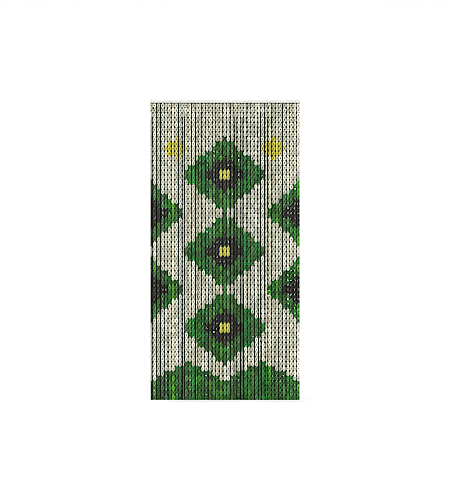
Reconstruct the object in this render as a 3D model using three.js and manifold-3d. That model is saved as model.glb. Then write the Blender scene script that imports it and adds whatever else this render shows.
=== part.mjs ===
// A door curtain of hooked plastic tiles: a pale head rail, and two carrier strips that lie in it, each
// fused to the roots of its strands. Millimetres, +Z up. The front faces -Y, and the origin is the
// middle of the rail's top face.
import * as THREE from "three";
import { mergeVertices } from "three/addons/utils/BufferGeometryUtils.js";
import Module from "manifold-3d";

// Whole curtain
const CURTAIN_WIDTH = 1000;
const CURTAIN_HEIGHT = 2000;
const PIECE_GAP = 0.3;

// Head rail, a channel open below with lips turned inwards
const RAIL_HEIGHT = 20;
const RAIL_DEPTH = 22;
const RAIL_WALL = 1.5;
const RAIL_LIP = 2.5;

// Carrier strips
const STRIP_HEIGHT = 6;
const STRIP_END_INSET = 2;

// Strands
const STRAND_COUNT = 43;
const LEFT_STRAND_COUNT = 21;
const STRAND_PITCH = 23.2;
const TILES_PER_STRAND = 62;
const TILE_PITCH = 31.9;

// One scallop of a strand stands for this many tiles, each wide at its shoulders and narrow at its tip
const TILES_PER_SCALLOP = 2;
const SHOULDER_DROP = 8;
const ROOT_HEIGHT_IN_STRIP = 3;

// Sections of a strand: half its width, and how far its flat front and its back ridge lie from its axis
const SECTIONS = {
  neck: { halfWidth: 3, front: 1.4, ridge: 2.6 },
  shoulder: { halfWidth: 9.5, front: 0.8, ridge: 3 },
  tip: { halfWidth: 8, front: 3.4, ridge: 3 },
};

// Uneven draws, from 0 up to 1: one number for each strand and kind of draw, the same every time
const DRAW_MODULUS = 101;
const DRAW_SQUARE = 57;
const TURN_DRAW = 84;
const TURN_SIDE_DRAW = 89;
const UPPER_GAP_DRAW = 31;
const LOWER_GAP_DRAW = 21;
const DEPTH_DRAW = 17;

// Turn of a strand about its own axis, in degrees: most face the front, some hang nearly edge on
const EDGE_ON_SHARE = 0.2;
const EDGE_ON_TURN = 56;
const EDGE_ON_SPREAD = 18;
const FACING_SPREAD = 22;

// Gaps between the strands: most are narrow and alike, the rest are wider
const NARROW_SHARE = 0.6;
const NARROW_WEIGHT = 0.6;
const WIDE_WEIGHT_LOW = 1.0;
const WIDE_WEIGHT_HIGH = 1.4;
const STRAND_HALF_DEPTH = 4.2;
const ROW_END_ROOM = 0.3;
const DEPTH_SWAY = 1.5;

// Distances below the rail: a strand has its whole turn and sway by the first, and changes from its upper
// to its lower place between the second and the third
const FREE_AT = 120;
const UPPER_PLACES_END = 900;
const LOWER_PLACES_AT = 1800;

const wasm = await Module();
wasm.setup();

function material(color, roughness, metalness) {
  return new THREE.MeshStandardMaterial({ color, roughness, metalness });
}

const RAIL_FINISH = material(0xf1f0ea, 0.4, 0.0);
const TILE_FINISH = material(0xe2e4c8, 0.3, 0.0);

function solidOf(geometry) {
  const bare = geometry.clone();
  bare.deleteAttribute("normal");
  bare.deleteAttribute("uv");
  const merged = mergeVertices(bare, 1e-4);
  return new wasm.Manifold(
    new wasm.Mesh({
      numProp: 3,
      vertProperties: merged.attributes.position.array,
      triVerts: new Uint32Array(merged.index.array),
    }),
  );
}

function geometryOf(solid) {
  const mesh = solid.getMesh();
  const geometry = new THREE.BufferGeometry();
  geometry.setAttribute("position", new THREE.BufferAttribute(mesh.vertProperties, mesh.numProp));
  geometry.setIndex(new THREE.BufferAttribute(mesh.triVerts, 1));
  geometry.computeVertexNormals();
  return geometry;
}

function namedMesh(name, geometry, finish) {
  const mesh = new THREE.Mesh(geometry, finish);
  mesh.name = name;
  return mesh;
}

// Head rail: the channel's section, drawn in the Y-Z plane and extruded along X
function headRail() {
  const side = RAIL_DEPTH / 2;
  const inner = side - RAIL_WALL;
  const slot = inner - RAIL_LIP;
  const section = new THREE.Shape();
  section.moveTo(-side, 0);
  section.lineTo(-side, -RAIL_HEIGHT);
  section.lineTo(-slot, -RAIL_HEIGHT);
  section.lineTo(-slot, -RAIL_HEIGHT + RAIL_WALL);
  section.lineTo(-inner, -RAIL_HEIGHT + RAIL_WALL);
  section.lineTo(-inner, -RAIL_WALL);
  section.lineTo(inner, -RAIL_WALL);
  section.lineTo(inner, -RAIL_HEIGHT + RAIL_WALL);
  section.lineTo(slot, -RAIL_HEIGHT + RAIL_WALL);
  section.lineTo(slot, -RAIL_HEIGHT);
  section.lineTo(side, -RAIL_HEIGHT);
  section.lineTo(side, 0);
  section.closePath();
  const geometry = new THREE.ExtrudeGeometry(section, { depth: CURTAIN_WIDTH, bevelEnabled: false });
  const alongX = new THREE.Matrix4().makeBasis(
    new THREE.Vector3(0, 1, 0),
    new THREE.Vector3(0, 0, 1),
    new THREE.Vector3(1, 0, 0),
  );
  geometry.applyMatrix4(alongX);
  geometry.translate(-CURTAIN_WIDTH / 2, 0, 0);
  return geometry;
}

// Heights shared by the strips and the strands
const STRIP_BOTTOM = -RAIL_HEIGHT + RAIL_WALL + PIECE_GAP;
const ROOT_TOP = STRIP_BOTTOM + ROOT_HEIGHT_IN_STRIP;
const SCALLOP_PITCH = TILE_PITCH * TILES_PER_SCALLOP;
const SCALLOP_COUNT = TILES_PER_STRAND / TILES_PER_SCALLOP;

// Levels of a strand from its root down, each with its height and its section
function strandLevels() {
  const neckBottom = -CURTAIN_HEIGHT + SCALLOP_COUNT * SCALLOP_PITCH;
  const levels = [
    { z: ROOT_TOP, section: SECTIONS.neck },
    { z: neckBottom, section: SECTIONS.neck },
  ];
  for (let below = SCALLOP_COUNT - 1; below >= 0; below -= 1) {
    const tip = -CURTAIN_HEIGHT + below * SCALLOP_PITCH;
    const shoulder = tip + SCALLOP_PITCH - SHOULDER_DROP;
    levels.push({ z: shoulder, section: SECTIONS.shoulder });
    levels.push({ z: tip, section: SECTIONS.tip });
  }
  return levels;
}

function unevenDraw(index, kind) {
  return ((index * index * DRAW_SQUARE + index * kind) % DRAW_MODULUS) / DRAW_MODULUS;
}

function strandTurn(index) {
  const draw = unevenDraw(index, TURN_DRAW);
  const side = unevenDraw(index, TURN_SIDE_DRAW) < 0.5 ? 1 : -1;
  if (draw < EDGE_ON_SHARE) {
    return side * (EDGE_ON_TURN + (EDGE_ON_SPREAD * draw) / EDGE_ON_SHARE);
  }
  return side * FACING_SPREAD * (draw - EDGE_ON_SHARE);
}

// Half the width that a strand shows from the front at its own turn
function shownHalfWidth(index) {
  const turn = THREE.MathUtils.degToRad(Math.abs(strandTurn(index)));
  return SECTIONS.shoulder.halfWidth * Math.cos(turn) + STRAND_HALF_DEPTH * Math.sin(turn);
}

function gapWeight(index, gapDraw) {
  const draw = unevenDraw(index, gapDraw);
  if (draw < NARROW_SHARE) {
    return NARROW_WEIGHT;
  }
  const rise = (draw - NARROW_SHARE) / (1 - NARROW_SHARE);
  return WIDE_WEIGHT_LOW + (WIDE_WEIGHT_HIGH - WIDE_WEIGHT_LOW) * rise;
}

// Where the strands hang along the rail, for one draw of the gaps between them
function placesAlongRail(gapDraw) {
  const indices = Array.from({ length: STRAND_COUNT }, (_, index) => index);
  const rowWidth = STRAND_COUNT * STRAND_PITCH - 2 * ROW_END_ROOM;
  const strandsWidth = indices.reduce((sum, index) => sum + 2 * shownHalfWidth(index), 0);
  const weights = indices.slice(1).map((index) => gapWeight(index - 1, gapDraw));
  const allWeights = weights.reduce((sum, weight) => sum + weight, 0);
  const places = [-rowWidth / 2 + shownHalfWidth(0)];
  for (let index = 1; index < STRAND_COUNT; index += 1) {
    const gap = ((rowWidth - strandsWidth) * weights[index - 1]) / allWeights;
    places.push(places[index - 1] + shownHalfWidth(index - 1) + gap + shownHalfWidth(index));
  }
  return places;
}

const UPPER_PLACES = placesAlongRail(UPPER_GAP_DRAW);
const LOWER_PLACES = placesAlongRail(LOWER_GAP_DRAW);

// Where a strand is at a height: its place along the rail, its sway in depth and its turn
function strandAt(index, z) {
  const below = -RAIL_HEIGHT - z;
  const free = THREE.MathUtils.smoothstep(below, 0, FREE_AT);
  const lower = THREE.MathUtils.smoothstep(below, UPPER_PLACES_END, LOWER_PLACES_AT);
  return {
    x: THREE.MathUtils.lerp(UPPER_PLACES[index], LOWER_PLACES[index], lower),
    y: DEPTH_SWAY * (2 * unevenDraw(index, DEPTH_DRAW) - 1) * free,
    turn: THREE.MathUtils.degToRad(strandTurn(index)) * free,
  };
}

// A three-sided strand: left edge, right edge and back ridge, joined from level to level
function strandSolid(index) {
  const levels = strandLevels();
  const positions = [];
  for (const { z, section } of levels) {
    const { x, y, turn } = strandAt(index, z);
    const corners = [
      [-section.halfWidth, -section.front],
      [section.halfWidth, -section.front],
      [0, section.ridge],
    ];
    for (const [across, back] of corners) {
      positions.push(
        x + across * Math.cos(turn) - back * Math.sin(turn),
        y + across * Math.sin(turn) + back * Math.cos(turn),
        z,
      );
    }
  }
  const faces = [0, 1, 2];
  for (let level = 0; level < levels.length - 1; level += 1) {
    for (let side = 0; side < 3; side += 1) {
      const a = level * 3 + side;
      const b = level * 3 + ((side + 1) % 3);
      faces.push(a, a + 3, b + 3, a, b + 3, b);
    }
  }
  const last = (levels.length - 1) * 3;
  faces.push(last, last + 2, last + 1);
  const geometry = new THREE.BufferGeometry();
  geometry.setAttribute("position", new THREE.Float32BufferAttribute(positions, 3));
  geometry.setIndex(faces);
  return solidOf(geometry);
}

// A carrier strip with the strands from one index up to another fused to it
function stripWithStrands(firstStrand, endStrand, left, right) {
  const depth = RAIL_DEPTH - 2 * RAIL_WALL - 2 * PIECE_GAP;
  const strip = new THREE.BoxGeometry(right - left, depth, STRIP_HEIGHT);
  strip.translate((left + right) / 2, 0, STRIP_BOTTOM + STRIP_HEIGHT / 2);
  let solid = solidOf(strip);
  for (let index = firstStrand; index < endStrand; index += 1) {
    solid = solid.add(strandSolid(index));
  }
  return geometryOf(solid);
}

const stripEnd = CURTAIN_WIDTH / 2 - STRIP_END_INSET;
const stripsMeet = (UPPER_PLACES[LEFT_STRAND_COUNT - 1] + UPPER_PLACES[LEFT_STRAND_COUNT]) / 2;

const curtain = new THREE.Group();
curtain.add(namedMesh("head_rail", headRail(), RAIL_FINISH));
curtain.add(
  namedMesh(
    "strands_left",
    stripWithStrands(0, LEFT_STRAND_COUNT, -stripEnd, stripsMeet - PIECE_GAP / 2),
    TILE_FINISH,
  ),
);
curtain.add(
  namedMesh(
    "strands_right",
    stripWithStrands(LEFT_STRAND_COUNT, STRAND_COUNT, stripsMeet + PIECE_GAP / 2, stripEnd),
    TILE_FINISH,
  ),
);

export default curtain;
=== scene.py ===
# A door curtain of hooked plastic tiles on a slim pale rail, in metres, in the frame of the CAD model.
import math

import bpy
import numpy as np
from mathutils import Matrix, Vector


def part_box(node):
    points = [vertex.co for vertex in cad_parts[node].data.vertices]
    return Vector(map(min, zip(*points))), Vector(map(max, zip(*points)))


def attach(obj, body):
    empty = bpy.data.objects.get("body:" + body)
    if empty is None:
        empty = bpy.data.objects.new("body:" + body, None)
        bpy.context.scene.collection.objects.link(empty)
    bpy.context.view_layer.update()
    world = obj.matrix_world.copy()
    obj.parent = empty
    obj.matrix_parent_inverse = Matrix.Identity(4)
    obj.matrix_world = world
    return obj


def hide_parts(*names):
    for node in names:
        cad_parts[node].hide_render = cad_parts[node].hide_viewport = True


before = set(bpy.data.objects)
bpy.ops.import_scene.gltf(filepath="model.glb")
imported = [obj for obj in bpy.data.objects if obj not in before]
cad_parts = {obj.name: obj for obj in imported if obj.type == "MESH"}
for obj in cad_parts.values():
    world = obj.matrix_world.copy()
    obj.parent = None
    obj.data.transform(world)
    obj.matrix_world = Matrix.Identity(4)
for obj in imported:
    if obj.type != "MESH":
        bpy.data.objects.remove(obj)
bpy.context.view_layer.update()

MM = 0.001

# Places read from the frame
RAIL_LOW, RAIL_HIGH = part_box("head_rail")
CURTAIN_BOTTOM = min(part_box(node)[0][2] for node in ("strands_left", "strands_right"))
RAIL_DEPTH = RAIL_HIGH[1] - RAIL_LOW[1]

# Rail and carrier strips
RAIL_WALL = 1.5 * MM
RAIL_LIP = 2.5 * MM
RAIL_CORNER = 0.8 * MM
PIECE_GAP = 0.3 * MM
STRIP_HEIGHT = 6 * MM
STRIP_END_INSET = 2 * MM

# Strands and tiles
STRAND_COUNT = 43
LEFT_STRAND_COUNT = 21
STRAND_PITCH = 23.2 * MM
TILES_PER_STRAND = 62
TILE_PITCH = 31.9 * MM
TILE_LENGTH = 41 * MM
TILE_HALF_WIDTH = 9.5 * MM
TILE_PIVOT = 16 * MM
TILE_LEAN = math.radians(5.7)
MOST_STRAND_SHRINK = 0.0012

# Uneven draws, from 0 up to 1, as in the solids: one number for each strand and kind of draw
DRAW_MODULUS = 101
DRAW_SQUARE = 57
TURN_DRAW = 84
TURN_SIDE_DRAW = 89
UPPER_GAP_DRAW = 31
LOWER_GAP_DRAW = 21
DEPTH_DRAW = 17
SHRINK_DRAW = 62
BATCH_DRAW = 47

# Turn of a strand about its own axis, in degrees, as in the solids
EDGE_ON_SHARE = 0.2
EDGE_ON_TURN = 56
EDGE_ON_SPREAD = 18
FACING_SPREAD = 22
FREE_AT = 120 * MM
TILE_TURN_WAVE = 5
TILE_TURN_SCATTER = 3.0
TILE_LEAN_SCATTER = 1.0
STRAND_SHADE_SHARE = 0.35
SHADE_SKEW = 1.9

# Gaps between the strands, and the distances below the rail between which the strands change from their
# upper to their lower places, as in the solids
NARROW_SHARE = 0.6
NARROW_WEIGHT = 0.6
WIDE_WEIGHT_LOW = 1.0
WIDE_WEIGHT_HIGH = 1.4
STRAND_HALF_DEPTH = 4.2 * MM
ROW_END_ROOM = 0.3 * MM
DEPTH_SWAY = 1.5 * MM
UPPER_PLACES_END = 900 * MM
LOWER_PLACES_AT = 1800 * MM

# Outline of a tile: distance below its top and half width, from the neck to the tip (mm)
TILE_OUTLINE = (
    (5.4, 3.0), (6.6, 4.3), (8.8, 6.0), (11.8, 7.7), (15.4, 8.9), (19.4, 9.5),
    (31.0, 9.5), (34.2, 8.7), (37.0, 7.1), (39.4, 4.9), (41.0, 2.6),
)
# Slot of a tile in the same order, from its top to its bottom (mm)
TILE_SLOT = (
    (17.8, 0.5), (18.0, 1.2), (18.7, 1.9), (19.8, 2.2), (21.4, 2.3), (23.6, 2.3),
    (29.4, 2.3), (31.8, 2.2), (33.1, 1.9), (33.8, 1.2), (34.0, 0.5),
)
# Rings of a tile from its back outer edge over the crowned front to its back inner edge:
# share of the way from the outline to the slot, and depth, where the front is negative (mm)
TILE_RINGS = (
    (0.0, 1.0), (0.0, 0.2), (0.16, -1.1), (0.5, -1.9), (0.84, -1.1), (1.0, 0.2), (1.0, 1.0),
)
# Hook: the middle line of its strap as depth, distance below the top, and half width (mm)
HOOK_PATH = (
    (0.1, 8.0, 2.8), (0.1, 5.0, 2.1), (-0.1, 2.5, 1.8), (-1.1, 1.1, 1.8),
    (-2.9, 0.8, 1.8), (-4.7, 1.3, 1.8), (-5.6, 2.9, 1.8), (-5.7, 5.6, 1.5),
)
HOOK_THICKNESS = 1.3


# Where the strands hang, and how each is turned
def uneven_draw(index, kind):
    return ((index * index * DRAW_SQUARE + index * kind) % DRAW_MODULUS) / DRAW_MODULUS


def strand_turn(index):
    draw = uneven_draw(index, TURN_DRAW)
    side = 1 if uneven_draw(index, TURN_SIDE_DRAW) < 0.5 else -1
    if draw < EDGE_ON_SHARE:
        return side * (EDGE_ON_TURN + EDGE_ON_SPREAD * draw / EDGE_ON_SHARE)
    return side * FACING_SPREAD * (draw - EDGE_ON_SHARE)


def gap_weight(index, gap_draw):
    draw = uneven_draw(index, gap_draw)
    if draw < NARROW_SHARE:
        return NARROW_WEIGHT
    rise = (draw - NARROW_SHARE) / (1 - NARROW_SHARE)
    return WIDE_WEIGHT_LOW + (WIDE_WEIGHT_HIGH - WIDE_WEIGHT_LOW) * rise


def free_places(gap_draw):
    turns = np.radians([abs(strand_turn(index)) for index in range(STRAND_COUNT)])
    halves = TILE_HALF_WIDTH * np.cos(turns) + STRAND_HALF_DEPTH * np.sin(turns)
    weights = np.array([gap_weight(index, gap_draw) for index in range(STRAND_COUNT - 1)])
    row_width = STRAND_COUNT * STRAND_PITCH - 2 * ROW_END_ROOM
    gaps = (row_width - 2 * halves.sum()) * weights / weights.sum()
    steps = halves[:-1] + gaps + halves[1:]
    return -row_width / 2 + halves[0] + np.concatenate(([0], np.cumsum(steps)))


UPPER_PLACES = free_places(UPPER_GAP_DRAW)
LOWER_PLACES = free_places(LOWER_GAP_DRAW)


def smooth_share(value, start, end):
    share = min(max((value - start) / (end - start), 0), 1)
    return share * share * (3 - 2 * share)


def strand_at(index, z):
    """Place along the rail, sway in depth, and turn in degrees of a strand at a height."""
    below = RAIL_LOW[2] - z
    free = smooth_share(below, 0, FREE_AT)
    lower = smooth_share(below, UPPER_PLACES_END, LOWER_PLACES_AT)
    x = UPPER_PLACES[index] + (LOWER_PLACES[index] - UPPER_PLACES[index]) * lower
    y = DEPTH_SWAY * (2 * uneven_draw(index, DEPTH_DRAW) - 1) * free
    return x, y, strand_turn(index) * free


# Materials. Noise repeats so often in a metre; in the drawn lines of the rail it does so along each axis
FLOW_REPEATS = 90.0
GLOSS_REPEATS = 260.0
GRAIN_REPEATS = 700.0
GRIME_REPEATS = 14.0
DRAWN_REPEATS = (3.0, 900.0, 900.0)
FLOOR_REPEATS = 0.8
PLASTIC_IOR = 1.49


def new_material(name):
    material = bpy.data.materials.new(name)
    material.use_nodes = True
    tree = material.node_tree
    tree.nodes.clear()
    output = tree.nodes.new("ShaderNodeOutputMaterial")
    shader = tree.nodes.new("ShaderNodeBsdfPrincipled")
    tree.links.new(shader.outputs["BSDF"], output.inputs["Surface"])
    return material, tree, shader


def noise(tree, coordinates, scale, detail=2.0, roughness=0.5):
    node = tree.nodes.new("ShaderNodeTexNoise")
    node.inputs["Scale"].default_value = scale
    node.inputs["Detail"].default_value = detail
    node.inputs["Roughness"].default_value = roughness
    tree.links.new(coordinates, node.inputs["Vector"])
    return node.outputs["Fac"]


def spread(tree, value, low, high, from_low=0.0, from_high=1.0):
    node = tree.nodes.new("ShaderNodeMapRange")
    node.inputs["From Min"].default_value = from_low
    node.inputs["From Max"].default_value = from_high
    node.inputs["To Min"].default_value = low
    node.inputs["To Max"].default_value = high
    tree.links.new(value, node.inputs["Value"])
    return node.outputs["Result"]


def mixed(tree, factor, first, second, blend="MIX"):
    node = tree.nodes.new("ShaderNodeMix")
    node.data_type = "RGBA"
    node.blend_type = blend
    for socket, value in ((node.inputs[0], factor), (node.inputs[6], first), (node.inputs[7], second)):
        if isinstance(value, bpy.types.NodeSocket):
            tree.links.new(value, socket)
        else:
            socket.default_value = value
    return node.outputs[2]


def attribute(tree, name):
    node = tree.nodes.new("ShaderNodeAttribute")
    node.attribute_name = name
    return node.outputs["Fac"]


def plastic(name, dark, light, other_light, worn_and_highlit):
    """Moulded plastic: each tile has its own shade, and each strand its own batch of plastic between two
    lights, with faint flow marks, and the thin rims painted paler, partly as rubbed wear and partly as a
    painted highlight."""
    material, tree, shader = new_material(name)
    place = tree.nodes.new("ShaderNodeTexCoord").outputs["Object"]
    shade = attribute(tree, "tile_shade")
    rim = attribute(tree, "rim")
    flow = noise(tree, place, FLOW_REPEATS, 3.0)
    batch = mixed(tree, attribute(tree, "strand_batch"), light + (1.0,), other_light + (1.0,))
    body = mixed(tree, shade, dark + (1.0,), batch)
    flowed = mixed(tree, spread(tree, flow, 0.0, 0.35, 0.35, 0.75), body, batch)
    # Rims painted paler: partly rubbed wear, partly a painted highlight on the edges
    rubbed_and_highlit = mixed(tree, spread(tree, rim, 0.0, 0.4), flowed, worn_and_highlit + (1.0,))
    tree.links.new(rubbed_and_highlit, shader.inputs["Base Color"])
    gloss = noise(tree, place, GLOSS_REPEATS, 2.0)
    tree.links.new(spread(tree, gloss, 0.14, 0.26), shader.inputs["Roughness"])
    bump = tree.nodes.new("ShaderNodeBump")
    bump.inputs["Strength"].default_value = 0.25
    bump.inputs["Distance"].default_value = 0.2 * MM
    tree.links.new(noise(tree, place, GRAIN_REPEATS, 2.0), bump.inputs["Height"])
    tree.links.new(bump.outputs["Normal"], shader.inputs["Normal"])
    shader.inputs["IOR"].default_value = PLASTIC_IOR
    shader.inputs["Coat Weight"].default_value = 0.5
    shader.inputs["Coat Roughness"].default_value = 0.08
    return material


def lacquer(name, dark, light, roughness_low, roughness_high):
    """White lacquer over drawn metal: faint lengthwise drawing lines and a little grime."""
    material, tree, shader = new_material(name)
    coordinates = tree.nodes.new("ShaderNodeTexCoord").outputs["Object"]
    stretched = tree.nodes.new("ShaderNodeMapping")
    stretched.inputs["Scale"].default_value = DRAWN_REPEATS
    tree.links.new(coordinates, stretched.inputs["Vector"])
    lines = noise(tree, stretched.outputs["Vector"], 1.0, 3.0)
    grime = noise(tree, coordinates, GRIME_REPEATS, 4.0, 0.6)
    tree.links.new(
        mixed(tree, spread(tree, grime, 0.0, 1.0, 0.3, 0.7), dark + (1.0,), light + (1.0,)),
        shader.inputs["Base Color"],
    )
    tree.links.new(spread(tree, lines, roughness_low, roughness_high), shader.inputs["Roughness"])
    bump = tree.nodes.new("ShaderNodeBump")
    bump.inputs["Strength"].default_value = 0.2
    bump.inputs["Distance"].default_value = 0.1 * MM
    tree.links.new(lines, bump.inputs["Height"])
    tree.links.new(bump.outputs["Normal"], shader.inputs["Normal"])
    return material


# Each colour of tile: its darkest shade, the lights of its two batches, and the paler colour its rims are
# painted towards, partly rubbed wear and partly painted highlight
TILE_COLOURS = (
    ("cream_plastic", (0.33, 0.325, 0.225), (0.86, 0.84, 0.62),
     (0.82, 0.83, 0.74), (0.98, 0.98, 0.87)),
    ("green_plastic", (0.002, 0.016, 0.002), (0.085, 0.375, 0.014),
     (0.014, 0.230, 0.050), (0.13, 0.42, 0.11)),
    ("brown_plastic", (0.008, 0.006, 0.004), (0.030, 0.023, 0.016),
     (0.023, 0.023, 0.022), (0.09, 0.08, 0.07)),
    ("yellow_plastic", (0.42, 0.385, 0.025), (0.66, 0.62, 0.06),
     (0.64, 0.57, 0.05), (0.80, 0.77, 0.22)),
)
TILE_MATERIALS = [plastic(*colours) for colours in TILE_COLOURS]
CREAM, GREEN, BROWN, YELLOW = range(4)
RAIL_LACQUER = lacquer("rail_lacquer", (0.50, 0.52, 0.49), (0.59, 0.61, 0.58), 0.28, 0.42)
STRIP_PLASTIC = lacquer("strip_plastic", (0.58, 0.57, 0.52), (0.70, 0.69, 0.64), 0.4, 0.55)

# Pattern of the tiles: a chain of large diamonds with dark cores and yellow hearts, half diamonds at
# the sides between them, small yellow lozenges near the top corners, and a band with peaks along the
# bottom. Rows are counted in tiles from the top, and the rest in strands from the middle.
DIAMOND_ROWS = (14.5, 30.5, 46.5)
DIAMOND_HALF = (12.5, 8.0)
SIDE_ROWS = (22.5, 38.5)
SIDE_HALF = (9.5, 6.5)
LOZENGE_PLACES = ((14, 9.0),)
LOZENGE_HALF = (3.4, 2.6)
CORE_SHARE = 0.5
HEART_SHARE = 0.17
BAND_TOP_ROW = 57.5
PEAK_STRANDS = 10.5
PEAK_TILES = 4


def diamond_share(across, down, half):
    return abs(across) / half[0] + abs(down) / half[1]


def motif_colour(share, has_heart):
    if has_heart and share <= HEART_SHARE:
        return YELLOW
    return BROWN if share <= CORE_SHARE else GREEN


def pattern_colour(strand, tile):
    across = abs(strand - (STRAND_COUNT - 1) / 2)
    from_side = (STRAND_COUNT - 1) / 2 - across
    peak = abs((across / PEAK_STRANDS) % 2 - 1)
    if tile >= BAND_TOP_ROW - PEAK_TILES * (1 - peak):
        return GREEN
    for row in DIAMOND_ROWS:
        share = diamond_share(across, tile - row, DIAMOND_HALF)
        if share <= 1:
            return motif_colour(share, True)
    for row in SIDE_ROWS:
        share = diamond_share(from_side, tile - row, SIDE_HALF)
        if share <= 1:
            return motif_colour(share, False)
    for place, row in LOZENGE_PLACES:
        if diamond_share(across - place, tile - row, LOZENGE_HALF) <= 1:
            return YELLOW
    return CREAM


# One tile, with its hook at the top: across, depth and distance down, in metres
def loop_points(rows):
    right = [(half, down) for down, half in rows]
    left = [(-half, down) for down, half in reversed(rows)]
    return np.array(right + left)


def tile_template():
    outline = loop_points(TILE_OUTLINE)
    slot = loop_points(TILE_SLOT)
    around = len(outline)
    points = []
    rim = []
    faces = []
    for share, depth in TILE_RINGS:
        ring = outline * (1 - share) + slot * share
        points += [(across, depth, down) for across, down in ring]
        # Rim mask: 1 on the outer and slot edges, which are painted paler, partly as wear and partly as a
        # painted highlight
        rim += [1.0 if share in (0.0, 1.0) else 0.0] * around
    rings = len(TILE_RINGS)
    for ring in range(rings):
        here = ring * around
        after = (ring + 1) % rings * around
        for k in range(around):
            following = (k + 1) % around
            faces.append((here + k, after + k, after + following, here + following))
    start = len(points)
    path = np.array([(depth, down) for depth, down, half in HOOK_PATH])
    along = np.gradient(path, axis=0)
    along /= np.linalg.norm(along, axis=1)[:, None]
    for (depth, down, half), (slope_depth, slope_down) in zip(HOOK_PATH, along):
        off_depth = -slope_down * HOOK_THICKNESS / 2
        off_down = slope_depth * HOOK_THICKNESS / 2
        points += [
            (-half, depth + off_depth, down + off_down),
            (half, depth + off_depth, down + off_down),
            (half, depth - off_depth, down - off_down),
            (-half, depth - off_depth, down - off_down),
        ]
        rim += [0.5] * 4
    steps = len(HOOK_PATH)
    for step in range(steps - 1):
        for k in range(4):
            a = start + step * 4 + k
            b = start + step * 4 + (k + 1) % 4
            faces.append((a, b, b + 4, a + 4))
    faces.append((start + 3, start + 2, start + 1, start))
    last = start + (steps - 1) * 4
    faces.append((last, last + 1, last + 2, last + 3))
    return np.array(points) * MM, np.array(rim), np.array(faces)


TILE_POINTS, TILE_RIM, TILE_FACES = tile_template()

# Where a tile's faces lie in its own cell of the strand's map: the front on the left half, the back on
# the right half, and the hook's strap in a grid of patches along the top
MAP_CELLS = 8
MAP_NAME = "OFBake"
CELL_SPAN = 46
CELL_LOW = 43
WALL_SPREAD = 0.12
HOOK_BAND_LOW = 0.83
HOOK_BAND_HEIGHT = 0.15
PATCH_FILL = 0.8


def map_points(points, middle):
    return np.column_stack((middle + points[:, 0] / CELL_SPAN, (CELL_LOW - points[:, 1]) / CELL_SPAN))


def hook_patch(column, row):
    columns = len(HOOK_PATH)
    left = column / columns
    right = left + PATCH_FILL / columns
    low = HOOK_BAND_LOW + HOOK_BAND_HEIGHT * row / 4
    high = low + HOOK_BAND_HEIGHT * PATCH_FILL / 4
    return (left, low), (left, high), (right, high), (right, low)


def tile_map():
    outline = loop_points(TILE_OUTLINE)
    slot = loop_points(TILE_SLOT)
    around = len(outline)
    shares = [share for share, depth in TILE_RINGS]
    shares[0] = -WALL_SPREAD
    shares[-1] = 1 + WALL_SPREAD
    front = [map_points(outline * (1 - share) + slot * share, 0.25) for share in shares]
    bands = list(zip(front[:-1], front[1:]))
    bands.append((map_points(slot, 0.75), map_points(outline, 0.75)))
    corners = []
    for here, after in bands:
        for k in range(around):
            following = (k + 1) % around
            corners.append((here[k], after[k], after[following], here[following]))
    last = len(HOOK_PATH) - 1
    corners += [hook_patch(column, row) for column in range(last) for row in range(4)]
    corners += [hook_patch(last, row) for row in range(2)]
    return np.array(corners)


TILE_MAP = tile_map()


def mesh_object(name, points, faces, materials, face_material=None, smooth_angle=50):
    mesh = bpy.data.meshes.new(name)
    corners = faces.shape[1]
    mesh.vertices.add(len(points))
    mesh.vertices.foreach_set("co", np.asarray(points, dtype=np.float32).ravel())
    mesh.loops.add(faces.size)
    mesh.loops.foreach_set("vertex_index", faces.astype(np.int32).ravel())
    mesh.polygons.add(len(faces))
    mesh.polygons.foreach_set("loop_start", np.arange(0, faces.size, corners, dtype=np.int32))
    for material in materials:
        mesh.materials.append(material)
    if face_material is not None:
        mesh.polygons.foreach_set("material_index", face_material.astype(np.int32))
    mesh.update(calc_edges=True)
    mesh.validate()
    mesh.shade_smooth()
    mesh.set_sharp_from_angle(angle=math.radians(smooth_angle))
    piece = bpy.data.objects.new(name, mesh)
    bpy.context.scene.collection.objects.link(piece)
    return piece


def add_attribute(piece, name, domain, values):
    made = piece.data.attributes.new(name, "FLOAT", domain)
    made.data.foreach_set("value", np.asarray(values, dtype=np.float32))


def add_strand_map(piece):
    cells = [(tile % MAP_CELLS, tile // MAP_CELLS) for tile in range(TILES_PER_STRAND)]
    corners = [(TILE_MAP + cell) / MAP_CELLS for cell in cells]
    layer = piece.data.uv_layers.new(name=MAP_NAME)
    layer.uv.foreach_set("vector", np.concatenate(corners).astype(np.float32).ravel())


draws = np.random.default_rng(STRAND_COUNT)


def turned_tile(turn, lean):
    """A tile's points from its pivot: leaning forward below, then turned about the strand's axis."""
    across, depth, down = TILE_POINTS.T
    below = down - TILE_PIVOT
    back = depth * math.cos(lean) - below * math.sin(lean)
    height = -below * math.cos(lean) - depth * math.sin(lean)
    return np.column_stack(
        (
            across * math.cos(turn) - back * math.sin(turn),
            across * math.sin(turn) + back * math.cos(turn),
            height,
        )
    )


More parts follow.
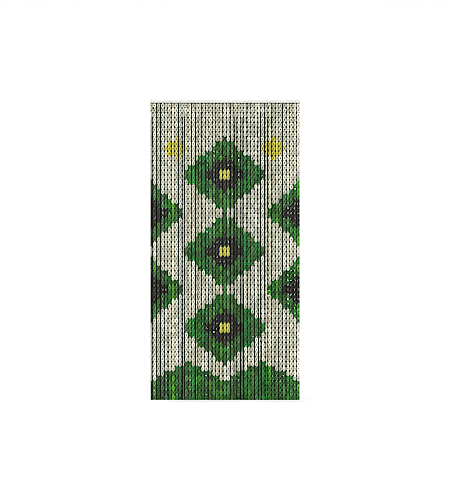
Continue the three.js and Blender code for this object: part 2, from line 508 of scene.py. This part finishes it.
def strand_piece(index):
    phase = draws.uniform(0, 2 * math.pi)
    strand_shade = draws.uniform(0, 1)
    top_pivot = CURTAIN_BOTTOM + TILE_LENGTH - TILE_PIVOT + (TILES_PER_STRAND - 1) * TILE_PITCH
    pitch = TILE_PITCH * (1 - MOST_STRAND_SHRINK * uneven_draw(index, SHRINK_DRAW))
    points = []
    colours = []
    shades = []
    for tile in range(TILES_PER_STRAND):
        down_share = tile / (TILES_PER_STRAND - 1)
        pivot_z = top_pivot - tile * pitch
        x, y, turn = strand_at(index, pivot_z)
        wave = TILE_TURN_WAVE * math.sin(phase + 2 * math.pi * down_share) * down_share
        scatter = draws.normal(0, TILE_TURN_SCATTER)
        lean = TILE_LEAN + math.radians(draws.normal(0, TILE_LEAN_SCATTER))
        tile_points = turned_tile(math.radians(turn + wave + scatter), lean)
        points.append(tile_points + (x, y, pivot_z))
        colours.append(pattern_colour(index, tile))
        shade = STRAND_SHADE_SHARE * strand_shade + (1 - STRAND_SHADE_SHARE) * draws.uniform(0, 1)
        shades.append(shade**SHADE_SKEW)
    count = len(TILE_POINTS)
    faces = np.concatenate([TILE_FACES + tile * count for tile in range(TILES_PER_STRAND)])
    face_material = np.repeat(colours, len(TILE_FACES))
    name = f"strand_{index + 1:02d}"
    piece = mesh_object(name, np.concatenate(points), faces, TILE_MATERIALS, face_material)
    add_attribute(piece, "tile_shade", "FACE", np.repeat(shades, len(TILE_FACES)))
    batch = uneven_draw(index, BATCH_DRAW)
    add_attribute(piece, "strand_batch", "FACE", np.full(len(faces), batch))
    add_attribute(piece, "rim", "POINT", np.tile(TILE_RIM, TILES_PER_STRAND))
    add_strand_map(piece)
    return piece


# Rail and strips: a section in the Y-Z plane with rounded corners, run along X
def rounded_section(corners, radius, steps=3):
    points = []
    count = len(corners)
    for k in range(count):
        here = np.array(corners[k])
        before = np.array(corners[k - 1]) - here
        after = np.array(corners[(k + 1) % count]) - here
        cut = min(radius, 0.4 * np.linalg.norm(before), 0.4 * np.linalg.norm(after))
        first = here + before / np.linalg.norm(before) * cut
        last = here + after / np.linalg.norm(after) * cut
        for step in range(steps + 1):
            t = step / steps
            points.append(first * (1 - t) ** 2 + here * 2 * t * (1 - t) + last * t**2)
    return np.array(points)


def run_along_x(name, section, left, right, material):
    count = len(section)
    ends = [np.column_stack((np.full(count, x), section)) for x in (left, right)]
    mesh = bpy.data.meshes.new(name)
    sides = [(k, (k + 1) % count, (k + 1) % count + count, k + count) for k in range(count)]
    caps = [tuple(reversed(range(count))), tuple(range(count, 2 * count))]
    mesh.from_pydata(np.concatenate(ends).tolist(), [], sides + caps)
    mesh.materials.append(material)
    mesh.validate()
    mesh.shade_smooth()
    mesh.set_sharp_from_angle(angle=math.radians(35))
    piece = bpy.data.objects.new(name, mesh)
    bpy.context.scene.collection.objects.link(piece)
    return piece


def rail_piece():
    side = RAIL_DEPTH / 2
    inner = side - RAIL_WALL
    slot = inner - RAIL_LIP
    top = RAIL_HIGH[2]
    low = RAIL_LOW[2]
    corners = [
        (-side, top), (-side, low), (-slot, low), (-slot, low + RAIL_WALL),
        (-inner, low + RAIL_WALL), (-inner, top - RAIL_WALL), (inner, top - RAIL_WALL),
        (inner, low + RAIL_WALL), (slot, low + RAIL_WALL), (slot, low), (side, low), (side, top),
    ]
    section = rounded_section(corners, RAIL_CORNER)
    return run_along_x("rail", section, RAIL_LOW[0], RAIL_HIGH[0], RAIL_LACQUER)


def strip_piece(name, left, right):
    half = RAIL_DEPTH / 2 - RAIL_WALL - PIECE_GAP
    low = RAIL_LOW[2] + RAIL_WALL + PIECE_GAP
    high = low + STRIP_HEIGHT
    section = rounded_section([(-half, high), (-half, low), (half, low), (half, high)], RAIL_CORNER)
    return run_along_x(name, section, left, right, STRIP_PLASTIC)


# Camera: straight in front of the middle of the curtain
VIEW_HEIGHT_PIXELS = 500
CURTAIN_HEIGHT_PIXELS = 300
LENS = 100
SENSOR = 36


def add_camera():
    height = RAIL_HIGH[2] - CURTAIN_BOTTOM
    seen = height * VIEW_HEIGHT_PIXELS / CURTAIN_HEIGHT_PIXELS
    distance = seen / 2 / (SENSOR / 2 / LENS)
    camera = bpy.data.cameras.new("camera")
    camera.lens = LENS
    camera.sensor_width = SENSOR
    camera.clip_end = 100
    holder = bpy.data.objects.new("camera", camera)
    holder.location = (0, -distance, RAIL_HIGH[2] - height / 2)
    holder.rotation_euler = (math.pi / 2, 0, 0)
    bpy.context.scene.collection.objects.link(holder)
    bpy.context.scene.camera = holder


# Stage: a pale floor that glows a little, and a dark card behind the strands, as in the photograph
FLOOR_DROP = 20 * MM
FLOOR_HALF = 8
FLOOR_GLOW = 0.7
CARD_BEHIND = 12 * MM
CARD_INSET = 2.5 * MM
CARD_DROP = 0.8 * MM


def stage_plane(name, corners, material):
    mesh = bpy.data.meshes.new(name)
    mesh.from_pydata(corners, [], [(0, 1, 2, 3)])
    mesh.materials.append(material)
    plane = bpy.data.objects.new(name, mesh)
    bpy.context.scene.collection.objects.link(plane)
    return plane


def add_stage():
    floor_material, tree, shader = new_material("pale_floor")
    place = tree.nodes.new("ShaderNodeTexCoord").outputs["Object"]
    tree.links.new(
        mixed(tree, noise(tree, place, FLOOR_REPEATS), (0.30, 0.30, 0.298, 1.0), (0.33, 0.33, 0.328, 1.0)),
        shader.inputs["Base Color"],
    )
    shader.inputs["Roughness"].default_value = 0.9
    shader.inputs["Emission Color"].default_value = (1.0, 1.0, 1.0, 1.0)
    seen = tree.nodes.new("ShaderNodeLightPath").outputs["Is Camera Ray"]
    tree.links.new(spread(tree, seen, 0.0, FLOOR_GLOW), shader.inputs["Emission Strength"])
    z = CURTAIN_BOTTOM - FLOOR_DROP
    floor_corners = [(x * FLOOR_HALF, y * FLOOR_HALF, z) for x, y in ((-1, -1), (1, -1), (1, 1), (-1, 1))]
    stage_plane("floor", floor_corners, floor_material)
    card_material, tree, shader = new_material("dark_card")
    shader.inputs["Base Color"].default_value = (0.012, 0.016, 0.008, 1.0)
    shader.inputs["Roughness"].default_value = 1.0
    shader.inputs["Specular IOR Level"].default_value = 0.0
    side = tree.nodes.new("ShaderNodeNewGeometry").outputs["Backfacing"]
    clear = tree.nodes.new("ShaderNodeBsdfTransparent")
    either = tree.nodes.new("ShaderNodeMixShader")
    output = tree.nodes["Material Output"]
    tree.links.new(side, either.inputs[0])
    tree.links.new(shader.outputs["BSDF"], either.inputs[1])
    tree.links.new(clear.outputs["BSDF"], either.inputs[2])
    tree.links.new(either.outputs["Shader"], output.inputs["Surface"])
    left = RAIL_LOW[0] + CARD_INSET
    right = RAIL_HIGH[0] - CARD_INSET
    top = RAIL_LOW[2]
    low = CURTAIN_BOTTOM - CARD_DROP
    card_corners = [(x, CARD_BEHIND, z) for x, z in ((left, low), (right, low), (right, top), (left, top))]
    card = stage_plane("dark_card", card_corners, card_material)
    card.visible_diffuse = False
    card.visible_glossy = False
    card.visible_transmission = False
    card.visible_shadow = False


# Light: a soft key from the upper left in front, a softer one from above, and an even studio that is
# white to the eye. Each light is the direction it shines in, its strength and its angle.
SOFT_LIGHTS = {
    "key": ((0.40, 0.80, -0.45), 3.8, math.radians(8)),
    "above": ((0.10, 0.25, -0.96), 2.4, math.radians(25)),
}
STUDIO_LIGHT = 0.2
STUDIO_SEEN = 1.0


def add_lights():
    world = bpy.data.worlds.new("studio")
    world.use_nodes = True
    tree = world.node_tree
    tree.nodes.clear()
    output = tree.nodes.new("ShaderNodeOutputWorld")
    either = tree.nodes.new("ShaderNodeMixShader")
    tree.links.new(tree.nodes.new("ShaderNodeLightPath").outputs["Is Camera Ray"], either.inputs[0])
    for socket, strength in ((1, STUDIO_LIGHT), (2, STUDIO_SEEN)):
        background = tree.nodes.new("ShaderNodeBackground")
        background.inputs["Color"].default_value = (1.0, 1.0, 1.0, 1.0)
        background.inputs["Strength"].default_value = strength
        tree.links.new(background.outputs["Background"], either.inputs[socket])
    tree.links.new(either.outputs["Shader"], output.inputs["Surface"])
    bpy.context.scene.world = world
    for name, (direction, strength, angle) in SOFT_LIGHTS.items():
        light = bpy.data.lights.new(name, "SUN")
        light.energy = strength
        light.angle = angle
        holder = bpy.data.objects.new(name, light)
        holder.rotation_euler = Vector(direction).to_track_quat("-Z", "Y").to_euler()
        bpy.context.scene.collection.objects.link(holder)
    bpy.context.scene.view_settings.view_transform = "Standard"


# The photograph looks sharpened, so the render is too, its highlights held to white first and its blacks
# held to the photograph's greenish black afterwards
SHARPENING = 0.21
DARKEST = (0.001, 0.0035, 0.0012, 1.0)


def add_sharpening():
    scene = bpy.context.scene
    scene.use_nodes = True
    tree = scene.node_tree
    tree.nodes.clear()
    layers = tree.nodes.new("CompositorNodeRLayers")
    hold = tree.nodes.new("CompositorNodeMixRGB")
    hold.use_clamp = True
    hold.inputs["Fac"].default_value = 0.0
    sharpen = tree.nodes.new("CompositorNodeFilter")
    sharpen.filter_type = "SHARPEN_DIAMOND"
    sharpen.inputs["Fac"].default_value = SHARPENING
    lift = tree.nodes.new("CompositorNodeMixRGB")
    lift.blend_type = "LIGHTEN"
    lift.inputs["Fac"].default_value = 1.0
    lift.inputs[2].default_value = DARKEST
    result = tree.nodes.new("CompositorNodeComposite")
    tree.links.new(layers.outputs["Image"], hold.inputs[1])
    tree.links.new(hold.outputs["Image"], sharpen.inputs["Image"])
    tree.links.new(sharpen.outputs["Image"], lift.inputs[1])
    tree.links.new(lift.outputs["Image"], result.inputs["Image"])


add_camera()
add_stage()
add_lights()
add_sharpening()

rail = rail_piece()
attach(rail, "root")
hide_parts("head_rail")

left_end = RAIL_LOW[0] + STRIP_END_INSET
right_end = RAIL_HIGH[0] - STRIP_END_INSET
strips_meet = (UPPER_PLACES[LEFT_STRAND_COUNT - 1] + UPPER_PLACES[LEFT_STRAND_COUNT]) / 2
for name, node, left, right, first, end in (
    ("strip_left", "strands_left", left_end, strips_meet - PIECE_GAP / 2, 0, LEFT_STRAND_COUNT),
    ("strip_right", "strands_right", strips_meet + PIECE_GAP / 2, right_end, LEFT_STRAND_COUNT, STRAND_COUNT),
):
    strip = strip_piece(name, left, right)
    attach(strip, "root")
    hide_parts(node)
    for index in range(first, end):
        strand = strand_piece(index)
        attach(strand, "root")
        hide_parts(node)
